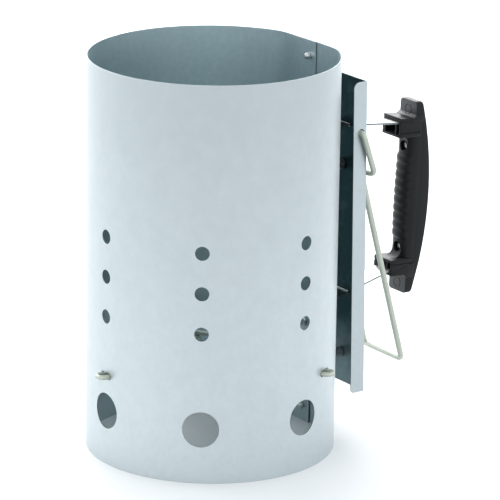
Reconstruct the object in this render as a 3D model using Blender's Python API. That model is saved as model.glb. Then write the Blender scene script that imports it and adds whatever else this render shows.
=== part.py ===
"""Chimney charcoal starter: a rolled sheet cylinder with a wire grate, a heat shield, a strap handle
with a two-piece plastic grip, and a wire bail that hinges in the shield's flanges.

Metres, +Z up, +X from the cylinder towards the handle. The origin is at the middle of the footprint,
on the surface that the starter stands on. Every object is modelled around the cylinder's axis, and
the empty "starter_frame" carries that axis to its place.
"""

import math

import bmesh
import bpy
from mathutils import Matrix, Vector

MM = 0.001
GAP = 0.3 * MM

# cylinder: one sheet, rolled once round, with a riveted overlap under the handle
BODY_HEIGHT = 300 * MM
BODY_RADIUS = 93.0 * MM
SEAM_DISTANCE = 87.2 * MM
SEAM_BLEND = 1.2 * MM
SHEET = 0.8 * MM
LAYER_STEP = SHEET + GAP
OVERLAP_HALF = 8 * MM
BODY_STEPS = 100
WALL_CUT = (80 * MM, 106 * MM)

# vent holes: seven columns, each with three small holes over a large one
VENT_COLUMNS = 7
VENT_RADIUS = 5.25 * MM
VENT_HEIGHTS = (114.5 * MM, 145 * MM, 175.5 * MM)
DRAUGHT_RADIUS = 13.5 * MM
DRAUGHT_HEIGHT = 41.5 * MM
DRAUGHT_SIDES = 28

# wire grate: three hairpins hooked through slots in the wall, with rings lying on them
GRATE_WIRE = 3.5 * MM
GRATE_HEIGHT = 69 * MM
GRATE_RISE = math.radians(14.5)
HAIRPIN_HALF = 4.2 * MM
HAIRPIN_TIP = 100 * MM
HAIRPIN_KNEE = 82 * MM
HAIRPIN_END = 12 * MM
HAIRPIN_ANGLES = {"rear": 180, "left": 60, "right": -60}
RING_RADII = {"centre": 16 * MM, "middle": 40 * MM, "outer": 64 * MM}
SLOT_HALF_WIDTH = 6.5 * MM
SLOT_HALF_HEIGHT = 2.5 * MM

# heat shield: a channel, leaning a little towards the cylinder at its top
SHIELD_WIDTH = 60 * MM
SHIELD_HEIGHT = 244.7 * MM
SHIELD_DEPTH = 12.7 * MM
SHIELD_SHEET = 0.9 * MM
SHIELD_X = 120.9 * MM
SHIELD_Z = 148.15 * MM
SHIELD_LEAN = math.radians(0.76)
SHIELD_TOP_CORNER = 5 * MM
SHIELD_FOOT_CORNER = 3 * MM

# strap: a bent steel strip, screwed to the wall at both feet, with the grip round its spine
STRAP_WIDTH = 18 * MM
STRAP_THICKNESS = 1.5 * MM
STRAP_BEND = 3 * MM
STRAP_FOOT_TOP = 258 * MM
STRAP_ARM_TOP_WALL = 235.3 * MM
STRAP_SPINE_TOP = (186.4 * MM, 224.3 * MM)
STRAP_SPINE_FOOT = (181.2 * MM, 115.2 * MM)
STRAP_ARM_FOOT_WALL = 91.6 * MM
STRAP_FOOT_END = 70 * MM
STRAP_SLOT_HALF = (9.8 * MM, 2.4 * MM)
STRAP_SLOT_HEIGHTS = (231.7 * MM, 99.5 * MM)
STRAP_BOLT_HEIGHTS = {"upper": 248 * MM, "lower": 80 * MM}

# fasteners
BOLT_RADIUS = 2 * MM
BOLT_CLEARANCE = 2.35 * MM
BOLT_HEAD_RADIUS = 3.8 * MM
BOLT_HEAD_HEIGHT = 2.4 * MM
NUT_RADIUS = 3.9 * MM
NUT_BORE = BOLT_RADIUS + 1.5 * GAP
LEAN_GAP = 1.3 * GAP
NUT_HEIGHT = 3 * MM
SPACER_HEIGHTS = {"upper": 200 * MM, "lower": 50 * MM}
SPACER_RADIUS = 4.5 * MM
RIVET_HEIGHTS = {"upper": 288 * MM, "lower": 12 * MM}
RIVET_RADIUS = 1.6 * MM
RIVET_HEAD = (3.2 * MM, 1.2 * MM)
RIVET_TAIL = (2.5 * MM, 4.2 * MM)
GRIP_SCREW_RADIUS = 1.5 * MM
GRIP_SCREW_HEAD = (3.1 * MM, 2.2 * MM)
GRIP_SCREW_TIP = 6.6 * MM

# grip, in its own frame: u runs up the spine, w runs outwards from it
GRIP_CENTRE = (183.6 * MM, 165.3 * MM)
GRIP_LEAN = math.radians(2.7)
GRIP_WIDTH = 21 * MM
JAW_WIDTH = 22.6 * MM
BOW_HEIGHT = 12 * MM
BOW_RADIUS = 262 * MM
GRIP_HALF_LENGTH = 76 * MM
SPINE_CLEARANCE = STRAP_THICKNESS / 2 + GAP
TAB_INSET = 6 * MM
TAB_CORNER = 2 * MM
PLATE = 2.7 * MM
JAW_REACH = 21.2 * MM
JAW_ROOT = 3.5 * MM
JAW_WALL = 1.9 * MM
JAW_FLOOR = 9 * MM
POCKET_Y = 4.9 * MM
POCKET_HALF_WIDTH = 4.1 * MM
UPPER_JAW_EDGE = 49.0 * MM
LOWER_JAW_EDGE = -47.9 * MM
PALM_DEPTH = 10.2 * MM
PALM_ENDS = (-47.8 * MM, 50 * MM)
RIB_COUNT = 10
RIB_PITCH = 6.6 * MM
RIB_HEIGHT = 0.7 * MM
GRIP_SCREW_OFFSET = 40 * MM
GRIP_SCREW_SEAT = 4 * MM
RECESS_RADIUS = 4 * MM

# bail: one wire, hinged in both flanges, with shoulders that rest on the shield
BAIL_WIRE = 4.5 * MM
BAIL_PIVOT = (114.0 * MM, 231.25 * MM)
BAIL_HOLE_RADIUS = 2.85 * MM
BAIL_BEND = 4 * MM
BAIL_STUB_END = 25 * MM
BAIL_LEG_Y = 32.8 * MM
BAIL_SHOULDER = (11.4 * MM, -33.05 * MM)
BAIL_HEEL = (8.4 * MM, 19.5 * MM, -33.55 * MM)
BAIL_CORNER = (48.3 * MM, 24 * MM, -188.35 * MM)

ROUND_SIDES = 16
WIRE_RESOLUTION = 2
WALL_OUTSIDE = SEAM_DISTANCE + LAYER_STEP / 2 + SHEET / 2
WALL_INSIDE = SEAM_DISTANCE - LAYER_STEP / 2 - SHEET / 2
HAIRPIN_REACH = HAIRPIN_TIP + GRATE_WIRE / 2
GRIP_REACH = GRIP_CENTRE[0] + BOW_HEIGHT
AXIS_X = (HAIRPIN_REACH - GRIP_REACH) / 2


def clear_scene():
    for item in list(bpy.data.objects):
        bpy.data.objects.remove(item, do_unlink=True)


def principled(name, colour, roughness, metallic):
    made = bpy.data.materials.new(name)
    made.use_nodes = True
    shader = made.node_tree.nodes["Principled BSDF"]
    shader.inputs["Base Color"].default_value = (*colour, 1)
    shader.inputs["Roughness"].default_value = roughness
    shader.inputs["Metallic"].default_value = metallic
    return made


def empty(name, location, parent=None):
    made = bpy.data.objects.new(name, None)
    made.location = location
    made.parent = parent
    bpy.context.collection.objects.link(made)
    return made


def place(name, data, material, parent, location=(0, 0, 0), rotation=(0, 0, 0)):
    made = bpy.data.objects.new(name, data)
    made.location = location
    made.rotation_euler = rotation
    made.parent = parent
    data.materials.append(material)
    bpy.context.collection.objects.link(made)
    return made


def mesh_from(name, bm, smooth_angle=35):
    bmesh.ops.recalc_face_normals(bm, faces=bm.faces)
    mesh = bpy.data.meshes.new(name)
    bm.to_mesh(mesh)
    bm.free()
    mesh.shade_smooth()
    mesh.set_sharp_from_angle(angle=math.radians(smooth_angle))
    return mesh


def boolean(target, tool, operation="DIFFERENCE"):
    """Adds a Boolean to target, and keeps its tool out of the model."""
    tool.hide_render = True
    tool.display_type = "WIRE"
    modifier = target.modifiers.new(operation.lower(), "BOOLEAN")
    modifier.operation = operation
    modifier.solver = "EXACT"
    modifier.object = tool


def add_prism(bm, outline, axis_matrix, low, high):
    """Extrudes a closed outline of (a, b) points from low to high along the matrix's Z."""
    bottom = [bm.verts.new(axis_matrix @ Vector((a, b, low))) for a, b in outline]
    top = [bm.verts.new(axis_matrix @ Vector((a, b, high))) for a, b in outline]
    bm.faces.new(bottom[::-1])
    bm.faces.new(top)
    for i in range(len(outline)):
        j = (i + 1) % len(outline)
        bm.faces.new((bottom[i], bottom[j], top[j], top[i]))


def circle(radius, sides=ROUND_SIDES):
    turns = [2 * math.pi * (i + 0.5) / sides for i in range(sides)]
    return [(radius * math.cos(t), radius * math.sin(t)) for t in turns]


def rectangle(half_a, half_b):
    return [(-half_a, -half_b), (half_a, -half_b), (half_a, half_b), (-half_a, half_b)]


def slot_outline(half_width, half_height, steps=6):
    """A slot with round ends."""
    reach = half_width - half_height
    points = []
    for side, start in ((1, -math.pi / 2), (-1, math.pi / 2)):
        for i in range(steps + 1):
            turn = start + math.pi * i / steps
            points.append((side * reach + half_height * math.cos(turn), half_height * math.sin(turn)))
    return points


def radial_axis(degrees, height):
    """Z points outwards from the cylinder's axis, X runs round it and Y up it."""
    turn = math.radians(degrees)
    outwards = Vector((math.cos(turn), math.sin(turn), 0))
    around = Vector((-math.sin(turn), math.cos(turn), 0))
    up = Vector((0, 0, 1))
    return Matrix.Translation(Vector((0, 0, height))) @ Matrix((around, up, outwards)).transposed().to_4x4()


def along_x(height):
    """Z points along +X at the given height, X runs along +Y and Y up."""
    return radial_axis(0, height)


def across_y():
    """Takes an outline of (x, z) points and extrudes it along Y."""
    return Matrix(((1, 0, 0), (0, 0, -1), (0, 1, 0))).to_4x4()


def turned(bm, profile, axis_matrix, sides=ROUND_SIDES):
    """Turns a profile of (radius, along) points, that starts and ends on the axis, round the Z axis."""
    rings = []
    for radius, along in profile:
        if radius == 0:
            rings.append([bm.verts.new(axis_matrix @ Vector((0, 0, along)))])
        else:
            rings.append([bm.verts.new(axis_matrix @ Vector((a, b, along))) for a, b in circle(radius, sides)])
    for lower, upper in zip(rings, rings[1:]):
        for i in range(sides):
            j = (i + 1) % sides
            corners = [lower[i % len(lower)], lower[j % len(lower)], upper[j % len(upper)], upper[i % len(upper)]]
            unique = list(dict.fromkeys(corners))
            if len(unique) > 2:
                bm.faces.new(unique)


def turned_piece(name, profile, axis_matrix, material, parent, sides=ROUND_SIDES):
    bm = bmesh.new()
    turned(bm, profile, axis_matrix, sides)
    place(name, mesh_from(name, bm), material, parent)


def rounded_path(points, radius, steps=4):
    """Replaces each inner corner of a path with an arc of the given radius."""
    points = [Vector(p) for p in points]
    path = [points[0]]
    for before, corner, after in zip(points, points[1:], points[2:]):
        back = (before - corner).normalized()
        ahead = (after - corner).normalized()
        half = back.angle(ahead) / 2
        reach = radius / math.tan(half)
        start = corner + back * reach
        end = corner + ahead * reach
        centre = corner + (back + ahead).normalized() * (radius / math.sin(half))
        for i in range(steps + 1):
            blend = start.lerp(end, i / steps) - centre
            path.append(centre + blend.normalized() * radius)
    path.append(points[-1])
    return path


def wire(name, points, diameter, closed=False):
    curve = bpy.data.curves.new(name, "CURVE")
    curve.dimensions = "3D"
    curve.bevel_depth = diameter / 2
    curve.bevel_resolution = WIRE_RESOLUTION
    curve.use_fill_caps = not closed
    spline = curve.splines.new("POLY")
    spline.points.add(len(points) - 1)
    for point, place_at in zip(spline.points, points):
        point.co = (*place_at, 1)
    spline.use_cyclic_u = closed
    return curve


# ---------------------------------------------------------------- cylinder

def plan_radius(turn):
    """The sheet's middle radius: round, with a flat chord under the handle."""
    if math.cos(turn) <= 0.2:
        return BODY_RADIUS
    chord = SEAM_DISTANCE / math.cos(turn)
    blended = math.exp((BODY_RADIUS - chord) / SEAM_BLEND)
    return BODY_RADIUS - SEAM_BLEND * math.log1p(blended)


def rolled_outline():
    """The sheet seen from above: inside end, round once, and outside end on top of it."""
    lap = math.atan(OVERLAP_HALF / SEAM_DISTANCE)
    inner, outer = [], []
    for i in range(BODY_STEPS + 1):
        share = i / BODY_STEPS
        turn = -lap + share * (2 * math.pi + 2 * lap)
        middle = plan_radius(turn) + LAYER_STEP * (share - 0.5)
        direction = Vector((math.cos(turn), math.sin(turn)))
        inner.append(direction * (middle - SHEET / 2))
        outer.append(direction * (middle + SHEET / 2))
    return [tuple(p) for p in outer + inner[::-1]]


def rolled_sheet(bm):
    """Faces as quads along the sheet, because the outline isn't convex."""
    outline = rolled_outline()
    low = [bm.verts.new((x, y, 0)) for x, y in outline]
    high = [bm.verts.new((x, y, BODY_HEIGHT)) for x, y in outline]
    count = len(outline)
    for i in range(count):
        j = (i + 1) % count
        bm.faces.new((low[i], low[j], high[j], high[i]))
    for i in range(BODY_STEPS):
        across = count - 1 - i
        bm.faces.new((low[i], low[across], low[across - 1], low[i + 1]))
        bm.faces.new((high[i], high[i + 1], high[across - 1], high[across]))


def wall_cutters(bm):
    for column in range(VENT_COLUMNS):
        degrees = 180 + 360 * column / VENT_COLUMNS
        for height in VENT_HEIGHTS:
            add_prism(bm, circle(VENT_RADIUS), radial_axis(degrees, height), *WALL_CUT)
        draught = circle(DRAUGHT_RADIUS, DRAUGHT_SIDES)
        add_prism(bm, draught, radial_axis(degrees, DRAUGHT_HEIGHT), *WALL_CUT)
    for degrees in HAIRPIN_ANGLES.values():
        outline = slot_outline(SLOT_HALF_WIDTH, SLOT_HALF_HEIGHT)
        add_prism(bm, outline, radial_axis(degrees, GRATE_HEIGHT), *WALL_CUT)
    for height in RIVET_HEIGHTS.values():
        add_prism(bm, circle(RIVET_RADIUS + GAP), along_x(height), *WALL_CUT)
    for height in (*STRAP_BOLT_HEIGHTS.values(), *SPACER_HEIGHTS.values()):
        add_prism(bm, circle(BOLT_CLEARANCE), along_x(height), *WALL_CUT)


def make_cylinder(frame, metal):
    bm = bmesh.new()
    rolled_sheet(bm)
    body = place("cylinder_body", mesh_from("cylinder_body", bm), metal, frame)
    cut = bmesh.new()
    wall_cutters(cut)
    boolean(body, place("wall_cutter", mesh_from("wall_cutter", cut), metal, frame))


def make_seam_rivets(frame, metal):
    """Blind rivets: a low dome outside the wall and the pulled tail inside it."""
    head_seat = WALL_OUTSIDE + GAP
    tail_seat = WALL_INSIDE - GAP
    tail_radius, tail = RIVET_TAIL
    head_radius, head = RIVET_HEAD
    profile = [
        (0, tail_seat - tail), (0.7 * tail_radius, tail_seat - 0.93 * tail),
        (tail_radius, tail_seat - 0.57 * tail), (tail_radius, tail_seat - 0.2 * tail),
        (0.85 * tail_radius, tail_seat), (RIVET_RADIUS, tail_seat),
        (RIVET_RADIUS, head_seat), (head_radius, head_seat), (0.9 * head_radius, head_seat + 0.5 * head),
        (0.55 * head_radius, head_seat + 0.9 * head), (0, head_seat + head),
    ]
    for side, height in RIVET_HEIGHTS.items():
        turned_piece(f"seam_rivet_{side}", profile, along_x(height), metal, frame, 12)


# ---------------------------------------------------------------- grate

def hairpin_points():
    """One hairpin along +X: both legs, joined by a round bend outside the wall."""
    fall = math.tan(GRATE_RISE)
    inner_height = GRATE_HEIGHT + (HAIRPIN_KNEE - HAIRPIN_END) * fall
    bend_centre = HAIRPIN_TIP - HAIRPIN_HALF
    leg = [
        Vector((HAIRPIN_END, HAIRPIN_HALF, inner_height)),
        Vector((HAIRPIN_KNEE, HAIRPIN_HALF, GRATE_HEIGHT)),
        Vector((bend_centre, HAIRPIN_HALF, GRATE_HEIGHT)),
    ]
    near = rounded_path(leg, 12 * MM)
    bend_steps = 8
    bend = []
    for i in range(1, bend_steps):
        turn = math.pi / 2 - math.pi * i / bend_steps
        offset = Vector((math.cos(turn), math.sin(turn), 0)) * HAIRPIN_HALF
        bend.append(Vector((bend_centre, 0, GRATE_HEIGHT)) + offset)
    far = [Vector((p.x, -p.y, p.z)) for p in reversed(near)]
    return near + bend + far


def ring_height(radius):
    """Where a ring's wire lies on the hairpins' sloping legs."""
    along = math.sqrt(radius ** 2 - HAIRPIN_HALF ** 2)
    leg = GRATE_HEIGHT + (HAIRPIN_KNEE - along) * math.tan(GRATE_RISE)
    return leg + (GRATE_WIRE + 1.3 * GAP) / math.cos(GRATE_RISE)


def make_grate(frame, metal):
    for side, degrees in HAIRPIN_ANGLES.items():
        name = f"grate_hairpin_{side}"
        curve = wire(name, hairpin_points(), GRATE_WIRE)
        place(name, curve, metal, frame, rotation=(0, 0, math.radians(degrees)))
    for side, radius in RING_RADII.items():
        name = f"grate_ring_{side}"
        steps = 24 if radius < 20 * MM else 40
        curve = wire(name, [(x, y, 0) for x, y in circle(radius, steps)], GRATE_WIRE, closed=True)
        place(name, curve, metal, frame, location=(0, 0, ring_height(radius)))


# ---------------------------------------------------------------- heat shield

def shield_face_x(height):
    """X of the shield's outer face at a height."""
    return SHIELD_X - (height - SHIELD_Z) * math.tan(SHIELD_LEAN)


def corner_arc(centre, radius, start, steps=4):
    turns = [math.radians(start + 90 * i / steps) for i in range(steps + 1)]
    return [(centre[0] + radius * math.cos(t), centre[1] + radius * math.sin(t)) for t in turns]


def flange_outline():
    """A flange seen along Y: its free corners, towards the cylinder, are round."""
    half = SHIELD_HEIGHT / 2
    top, foot = SHIELD_TOP_CORNER, SHIELD_FOOT_CORNER
    upper = corner_arc((-SHIELD_DEPTH + top, half - top), top, 90)
    lower = corner_arc((-SHIELD_DEPTH + foot, -half + foot), foot, 180)
    return [(0, half), *upper, *lower, (0, -half)]


def shield_body(bm):
    """Web and flanges as one channel: the flange outline, swept across and hollowed."""
    add_prism(bm, flange_outline(), across_y(), -SHIELD_WIDTH / 2, SHIELD_WIDTH / 2)


def shield_cutters(bm):
    hollow = rectangle(SHIELD_WIDTH / 2 - SHIELD_SHEET, SHIELD_HEIGHT)
    add_prism(bm, hollow, along_x(0), -2 * SHIELD_DEPTH, -SHIELD_SHEET)


def shield_holes(bm):
    through = (-3 * MM, 3 * MM)
    for height in STRAP_SLOT_HEIGHTS:
        add_prism(bm, rectangle(*STRAP_SLOT_HALF), along_x(height - SHIELD_Z), *through)
    for height in SPACER_HEIGHTS.values():
        add_prism(bm, circle(BOLT_CLEARANCE), along_x(height - SHIELD_Z), *through)


def make_shield(frame, metal):
    where = (SHIELD_X, 0, SHIELD_Z)
    lean = (0, -SHIELD_LEAN, 0)
    bm, hollow, holes, pivots = (bmesh.new() for _ in range(4))
    shield_body(bm)
    shield = place("heat_shield", mesh_from("heat_shield", bm), metal, frame, where, lean)
    shield_cutters(hollow)
    boolean(shield, place("channel_cutter", mesh_from("channel_cutter", hollow), metal, frame, where, lean))
    shield_holes(holes)
    boolean(shield, place("web_cutter", mesh_from("web_cutter", holes), metal, frame, where, lean))
    add_prism(pivots, circle(BAIL_HOLE_RADIUS), across_y(), -SHIELD_WIDTH, SHIELD_WIDTH)
    pivot = (BAIL_PIVOT[0], 0, BAIL_PIVOT[1])
    boolean(shield, place("pivot_cutter", mesh_from("pivot_cutter", pivots), metal, frame, pivot))


# ---------------------------------------------------------------- bolts, nuts and spacers

def bolt_profile(head_seat, tip):
    """A pan head on the side of head_seat away from tip, with its shank to tip."""
    side = 1 if head_seat > tip else -1
    crown = head_seat + side * BOLT_HEAD_HEIGHT
    return [
        (0, crown), (2.2 * MM, crown - side * 0.3 * MM), (BOLT_HEAD_RADIUS, crown - side * 1.2 * MM),
        (BOLT_HEAD_RADIUS, head_seat), (BOLT_RADIUS, head_seat), (BOLT_RADIUS, tip), (0, tip),
    ]


def tube_piece(name, outer, inner, span, height, material, parent, sides):
    """A sleeve along X at a height: a spacer, or with six sides a nut."""
    bm = bmesh.new()
    tube(bm, outer, inner, along_x(height), *span, sides)
    place(name, mesh_from(name, bm), material, parent)


def make_strap_fasteners(frame, metal):
    """Heads inside the cylinder, nuts outside on the strap's feet."""
    nut_low = WALL_OUTSIDE + 2 * GAP + STRAP_THICKNESS
    nut_span = (nut_low, nut_low + NUT_HEIGHT)
    profile = bolt_profile(WALL_INSIDE - GAP, nut_span[1] + 2 * MM)
    for side, height in STRAP_BOLT_HEIGHTS.items():
        turned_piece(f"strap_bolt_{side}", profile, along_x(height), metal, frame)
        tube_piece(f"strap_nut_{side}", NUT_RADIUS, NUT_BORE, nut_span, height, metal, frame, 6)


def make_shield_fasteners(frame, metal):
    """Long bolts through the shield and a tubular spacer, with nuts inside the cylinder."""
    nut_low = WALL_INSIDE - GAP - NUT_HEIGHT
    nut_span = (nut_low, nut_low + NUT_HEIGHT)
    for side, height in SPACER_HEIGHTS.items():
        face = shield_face_x(height)
        spacer_span = (WALL_OUTSIDE + GAP, face - SHIELD_SHEET - LEAN_GAP)
        profile = bolt_profile(face + LEAN_GAP, nut_low - 1.5 * MM)
        turned_piece(f"shield_bolt_{side}", profile, along_x(height), metal, frame)
        tube_piece(f"shield_nut_{side}", NUT_RADIUS, NUT_BORE, nut_span, height, metal, frame, 6)
        name = f"shield_spacer_{side}"
        tube_piece(name, SPACER_RADIUS, BOLT_CLEARANCE, spacer_span, height, metal, frame, ROUND_SIDES)


def tube(bm, outer, inner, axis_matrix, low, high, sides):
    rings = []
    for along in (low, high):
        for radius in (outer, inner):
            rings.append([bm.verts.new(axis_matrix @ Vector((a, b, along))) for a, b in circle(radius, sides)])
    outer_low, inner_low, outer_high, inner_high = rings
    for i in range(sides):
        j = (i + 1) % sides
        bm.faces.new((outer_low[i], outer_low[j], outer_high[j], outer_high[i]))
        bm.faces.new((inner_low[j], inner_low[i], inner_high[i], inner_high[j]))
        bm.faces.new((outer_low[j], outer_low[i], inner_low[i], inner_low[j]))
        bm.faces.new((outer_high[i], outer_high[j], inner_high[j], inner_high[i]))


# ---------------------------------------------------------------- strap

def strap_path():
    wall = WALL_OUTSIDE + GAP + STRAP_THICKNESS / 2
    corners = [
        (wall, 0, STRAP_FOOT_TOP), (wall, 0, STRAP_ARM_TOP_WALL),
        (STRAP_SPINE_TOP[0], 0, STRAP_SPINE_TOP[1]), (STRAP_SPINE_FOOT[0], 0, STRAP_SPINE_FOOT[1]),
        (wall, 0, STRAP_ARM_FOOT_WALL), (wall, 0, STRAP_FOOT_END),
    ]
    return rounded_path(corners, STRAP_BEND)


def strip(bm, path, thickness, half_width):
    """A flat strip along a path in the XZ plane."""
    sections = []
    for i, point in enumerate(path):
        before = path[max(i - 1, 0)]
        after = path[min(i + 1, len(path) - 1)]
        ahead = (after - before).normalized()
        side = Vector((ahead.z, 0, -ahead.x)) * (thickness / 2)
        corners = [(side, 1), (side, -1), (-side, -1), (-side, 1)]
        sections.append([bm.verts.new(point + s + Vector((0, y * half_width, 0))) for s, y in corners])
    for first, second in zip(sections, sections[1:]):
        for i in range(4):
            j = (i + 1) % 4
            bm.faces.new((first[i], first[j], second[j], second[i]))
    bm.faces.new(sections[0][::-1])
    bm.faces.new(sections[-1])


def make_strap(frame, metal):
    bm, holes = bmesh.new(), bmesh.new()
    strip(bm, strap_path(), STRAP_THICKNESS, STRAP_WIDTH / 2)
    strap = place("handle_strap", mesh_from("handle_strap", bm), metal, frame)
    for height in STRAP_BOLT_HEIGHTS.values():
        add_prism(holes, circle(BOLT_CLEARANCE), along_x(height), WALL_OUTSIDE - MM, WALL_OUTSIDE + 4 * MM)
    for side in (1, -1):
        axis = grip_axis(side * GRIP_SCREW_OFFSET)
        add_prism(holes, circle(GRIP_SCREW_RADIUS + 2 * GAP), axis, -3 * MM, 3 * MM)
    boolean(strap, place("strap_cutter", mesh_from("strap_cutter", holes), metal, frame))


# ---------------------------------------------------------------- grip

def grip_frame():
    """Maps the grip's (w, y, u) to the starter's (x, y, z)."""
    place_at = Matrix.Translation(Vector((GRIP_CENTRE[0], 0, GRIP_CENTRE[1])))
    return place_at @ Matrix.Rotation(GRIP_LEAN, 4, "Y")


def grip_axis(u):
    """Z points outwards through the grip at height u, X runs along +Y."""
    return grip_frame() @ along_x(u)


def bow(u):
    """The outer curve of the shell: w at a height u."""
    return BOW_HEIGHT - BOW_RADIUS + math.sqrt(BOW_RADIUS ** 2 - u ** 2)


def into_grip(x, z):
    """A point of the starter's XZ plane as the grip's (w, u)."""
    w, _, u = grip_frame().inverted() @ Vector((x, 0, z))
    return w, u


def arm_u(end, w, offset):
    """Height of the upper or lower strap arm's middle at w, shifted by offset."""
    wall = WALL_OUTSIDE + GAP + STRAP_THICKNESS / 2
    if end == "upper":
        start, stop = into_grip(wall, STRAP_ARM_TOP_WALL), into_grip(*STRAP_SPINE_TOP)
    else:
        start, stop = into_grip(wall, STRAP_ARM_FOOT_WALL), into_grip(*STRAP_SPINE_FOOT)
    slope = (stop[1] - start[1]) / (stop[0] - start[0])
    return stop[1] + slope * (w - stop[0]) + offset


def shell_outline():
    """The shell seen along Y: bowed back, end tabs, and a plate outside each strap arm."""
    steps = 20
    half = GRIP_HALF_LENGTH
    seat = STRAP_THICKNESS / 2 + 1.5 * GAP
    back = [(bow(half - 2 * half * i / steps), half - 2 * half * i / steps) for i in range(steps + 1)]
    lip = -JAW_REACH + 0.6 * MM
    low = [(lip, arm_u("lower", lip, -seat)), (SPINE_CLEARANCE, arm_u("lower", SPINE_CLEARANCE, -seat))]
    high = [(SPINE_CLEARANCE, arm_u("upper", SPINE_CLEARANCE, seat)), (lip, arm_u("upper", lip, seat))]
    lower = [
        (-TAB_INSET + TAB_CORNER, -half), (-TAB_INSET, -half + TAB_CORNER),
        (-TAB_INSET, low[0][1] - PLATE), (lip, low[0][1] - PLATE), *low,
    ]
    upper = [
        *high, (lip, high[1][1] + PLATE), (-TAB_INSET, high[0][1] + PLATE),
        (-TAB_INSET, half - TAB_CORNER), (-TAB_INSET + TAB_CORNER, half),
    ]
    return back + lower + upper


def make_outer_shell(frame, plastic):
    bm, holes = bmesh.new(), bmesh.new()
    add_prism(bm, shell_outline(), across_y(), -GRIP_WIDTH / 2, GRIP_WIDTH / 2)
    where = (GRIP_CENTRE[0], 0, GRIP_CENTRE[1])
    lean = (0, GRIP_LEAN, 0)
    shell = place("handle_outer_shell", mesh_from("handle_outer_shell", bm), plastic, frame, where, lean)
    for side in (1, -1):
        axis = along_x(side * GRIP_SCREW_OFFSET)
        add_prism(holes, circle(GRIP_SCREW_RADIUS + GAP), axis, -2 * MM, GRIP_SCREW_TIP + 0.4 * MM)
    boolean(shell, place("shell_cutter", mesh_from("shell_cutter", holes), plastic, frame, where, lean))


def rib_depth(u):
    """The palm side's depth: plain at both ends, ribbed between the screws."""
    ribbed = RIB_COUNT * RIB_PITCH / 2
    if abs(u) > ribbed:
        return PALM_DEPTH - 1.2 * MM
    return PALM_DEPTH + RIB_HEIGHT * math.cos(2 * math.pi * (u + ribbed) / RIB_PITCH - math.pi)


def palm_stations():
    ribbed = RIB_COUNT * RIB_PITCH / 2
    steps = RIB_COUNT * 4
    inner = [-ribbed + 2 * ribbed * i / steps for i in range(steps + 1)]
    return [PALM_ENDS[0], *inner, PALM_ENDS[1]]


def palm_body(bm):
    """A half-round bar along u, whose depth follows the ribs."""
    arc = 10
    sections = []
    for u in palm_stations():
        section = []
        for i in range(arc + 1):
            turn = math.pi * i / arc
            w = -SPINE_CLEARANCE - (rib_depth(u) - SPINE_CLEARANCE) * math.sin(turn) ** 0.8
            section.append(bm.verts.new((w, GRIP_WIDTH / 2 * math.cos(turn), u)))
        sections.append(section)
    for first, second in zip(sections, sections[1:]):
        for i in range(arc + 1):
            j = (i + 1) % (arc + 1)
            bm.faces.new((first[i], first[j], second[j], second[i]))
    bm.faces.new(sections[0])
    bm.faces.new(sections[-1][::-1])


def jaw_outlines():
    """The jaws seen along Y, above and below the palm side, each following its strap arm."""
    seat = STRAP_THICKNESS / 2 + 1.5 * GAP
    root = -SPINE_CLEARANCE - JAW_ROOT
    upper = [
        (root, UPPER_JAW_EDGE), (-JAW_REACH, UPPER_JAW_EDGE),
        (-JAW_REACH, arm_u("upper", -JAW_REACH, -seat)), (root, arm_u("upper", root, -seat)),
    ]
    lower = [
        (root, arm_u("lower", root, seat)), (-JAW_REACH, arm_u("lower", -JAW_REACH, seat)),
        (-JAW_REACH, LOWER_JAW_EDGE), (root, LOWER_JAW_EDGE + 2 * MM),
    ]
    return upper, lower


def jaw_pockets(bm):
    """Hollows that open towards the cylinder, two to a jaw with a rib between them."""
    upper = (UPPER_JAW_EDGE + JAW_WALL, arm_u("upper", -JAW_FLOOR, -JAW_WALL - MM))
    lower = (arm_u("lower", -JAW_REACH, JAW_WALL + MM), LOWER_JAW_EDGE - JAW_WALL)
    for low, high in (upper, lower):
        middle = (low + high) / 2
        for side in (1, -1):
            axis = Matrix.Translation(Vector((0, side * POCKET_Y, 0))) @ along_x(middle)
            outline = rectangle(POCKET_HALF_WIDTH, (high - low) / 2)
            add_prism(bm, outline, axis, -JAW_REACH - 4 * MM, -JAW_FLOOR)


def make_inner_grip(frame, plastic):
    where = (GRIP_CENTRE[0], 0, GRIP_CENTRE[1])
    lean = (0, GRIP_LEAN, 0)
    bm = bmesh.new()
    palm_body(bm)
    grip = place("handle_inner_grip", mesh_from("handle_inner_grip", bm), plastic, frame, where, lean)
    for name, outline in zip(("jaw_upper_block", "jaw_lower_block"), jaw_outlines()):
        jaw = bmesh.new()
        add_prism(jaw, outline, across_y(), -JAW_WIDTH / 2, JAW_WIDTH / 2)
        boolean(grip, place(name, mesh_from(name, jaw), plastic, frame, where, lean), "UNION")
    pockets = bmesh.new()
    jaw_pockets(pockets)
    boolean(grip, place("pocket_cutter", mesh_from("pocket_cutter", pockets), plastic, frame, where, lean))
    for name, radius, reach in (
        ("recess_cutter", RECESS_RADIUS, (-20 * MM, -GRIP_SCREW_SEAT)),
        ("screw_cutter", GRIP_SCREW_RADIUS + GAP, (-8 * MM, 2 * MM)),
    ):
        holes = bmesh.new()
        for side in (1, -1):
            add_prism(holes, circle(radius), along_x(side * GRIP_SCREW_OFFSET), *reach)
        boolean(grip, place(name, mesh_from(name, holes), plastic, frame, where, lean))


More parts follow.
